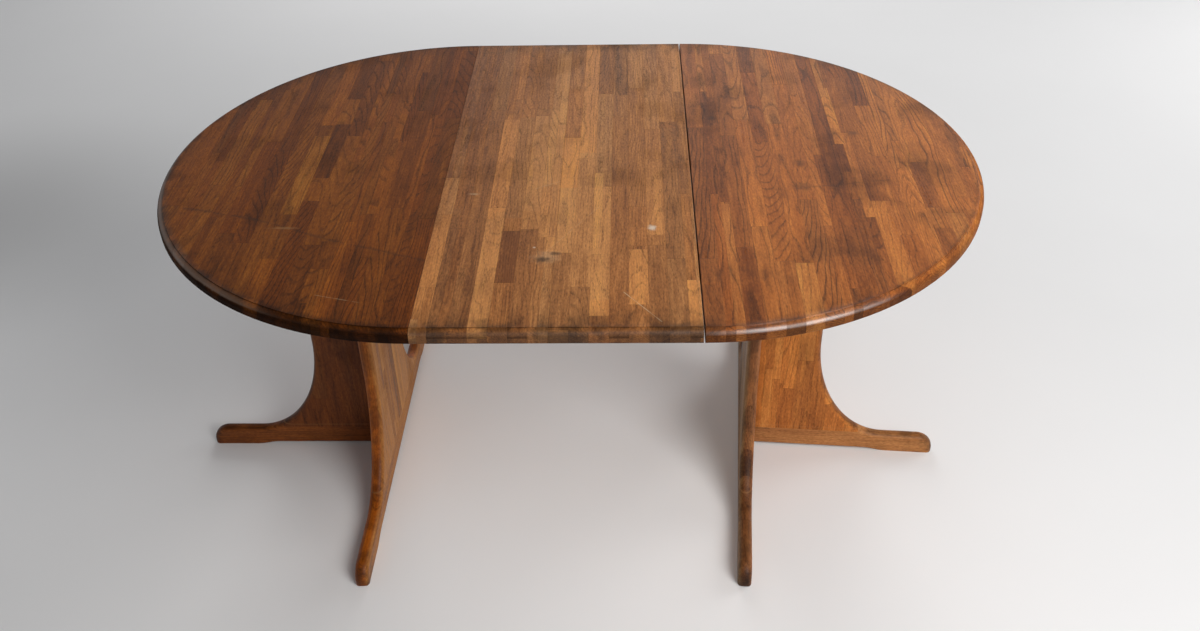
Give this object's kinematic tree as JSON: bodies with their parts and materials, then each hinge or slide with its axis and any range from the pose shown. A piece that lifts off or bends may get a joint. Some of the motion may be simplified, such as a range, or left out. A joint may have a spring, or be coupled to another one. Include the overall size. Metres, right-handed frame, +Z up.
{
  "type": "extending dining table",
  "caption": "Round-ended wooden dining table on split pedestals; its halves draw apart on wooden slides around a middle leaf that lifts and folds like a book.",
  "frame": {"origin": "on the floor midway between the two pedestals of the open table", "axes": "+X along the table's length towards the right half, +Y across it towards the back, +Z up"},
  "size_m": [1.6546, 1.1, 0.74],
  "materials": {
    "left_top_oak": "stained oak, satin",
    "leaf_oak": "stained oak, worn satin",
    "right_top_oak": "stained oak, satin",
    "pedestal_oak": "stained oak, satin",
    "button_oak": "stained oak, satin",
    "slide_beech": "bare beech, waxed",
    "dowel_beech": "bare beech",
    "screw_steel": "zinc plated",
    "hinge_brass": "satin brass"
  },
  "bodies": {
    "left_half": {"left_top": "left_top_oak", "left_cross_panel": "pedestal_oak", "left_side_panel": "pedestal_oak", "left_cross_foot_rail": "pedestal_oak", "left_side_foot_rail": "pedestal_oak", "left_pedestal_dowels": "dowel_beech", "left_corner_blocks": "slide_beech", "left_inner_bearers": "slide_beech", "left_outer_bearer": "slide_beech", "left_front_runner": "slide_beech", "left_back_runner": "slide_beech", "left_slide_stops": "dowel_beech", "left_top_screws": "screw_steel", "left_runner_screws": "screw_steel", "left_button_pivots": "screw_steel"},
    "centre_frame": {"centre_front_runner": "slide_beech", "centre_back_runner": "slide_beech", "centre_left_tie": "slide_beech", "centre_right_tie": "slide_beech", "leaf_post_left_front": "slide_beech", "leaf_post_left_back": "slide_beech", "leaf_post_right_front": "slide_beech", "leaf_post_right_back": "slide_beech", "centre_tie_screws": "screw_steel", "leaf_post_dowels": "dowel_beech"},
    "right_half": {"right_top": "right_top_oak", "right_cross_panel": "pedestal_oak", "right_side_panel": "pedestal_oak", "right_cross_foot_rail": "pedestal_oak", "right_side_foot_rail": "pedestal_oak", "right_pedestal_dowels": "dowel_beech", "right_corner_blocks": "slide_beech", "right_inner_bearers": "slide_beech", "right_outer_bearer": "slide_beech", "right_front_runner": "slide_beech", "right_back_runner": "slide_beech", "right_slide_stops": "dowel_beech", "right_top_screws": "screw_steel", "right_runner_screws": "screw_steel", "right_button_pivots": "screw_steel"},
    "leaf_left": {"leaf_left_board": "leaf_oak", "leaf_left_hinge_barrels": "hinge_brass"},
    "leaf_right": {"leaf_right_board": "leaf_oak", "leaf_right_hinge_barrels": "hinge_brass"},
    "left_front_turn_button": {"left_front_turn_button": "button_oak"},
    "left_back_turn_button": {"left_back_turn_button": "button_oak"},
    "right_front_turn_button": {"right_front_turn_button": "button_oak"},
    "right_back_turn_button": {"right_back_turn_button": "button_oak"}
  },
  "joints": [
    {"name": "centre_slide", "type": "slide", "parent": "left_half", "child": "centre_frame", "axis": [1, 0, 0], "range_m": [0, 0.03]},
    {"name": "right_half_slide", "type": "slide", "parent": "centre_frame", "child": "right_half", "axis": [1, 0, 0], "range_m": [0, 0.03]},
    {"name": "leaf_lift", "type": "slide", "parent": "centre_frame", "child": "leaf_left", "axis": [0, 0, 1], "range_m": [0, 0.15]},
    {"name": "leaf_fold", "type": "hinge", "parent": "leaf_left", "child": "leaf_right", "pos_m": [0.0129, 0, 0.74015], "axis": [0, -1, 0], "range_deg": [0, 180]},
    {"name": "left_front_button_turn", "type": "hinge", "parent": "left_half", "child": "left_front_turn_button", "pos_m": [-0.2429, -0.36, 0.7086], "axis": [0, 0, 1], "range_deg": [-90, 90]},
    {"name": "left_back_button_turn", "type": "hinge", "parent": "left_half", "child": "left_back_turn_button", "pos_m": [-0.2429, 0.36, 0.7086], "axis": [0, 0, 1], "range_deg": [-90, 90]},
    {"name": "right_front_button_turn", "type": "hinge", "parent": "right_half", "child": "right_front_turn_button", "pos_m": [0.2949, -0.36, 0.7086], "axis": [0, 0, 1], "range_deg": [-90, 90]},
    {"name": "right_back_button_turn", "type": "hinge", "parent": "right_half", "child": "right_back_turn_button", "pos_m": [0.2949, 0.36, 0.7086], "axis": [0, 0, 1], "range_deg": [-90, 90]}
  ]
}
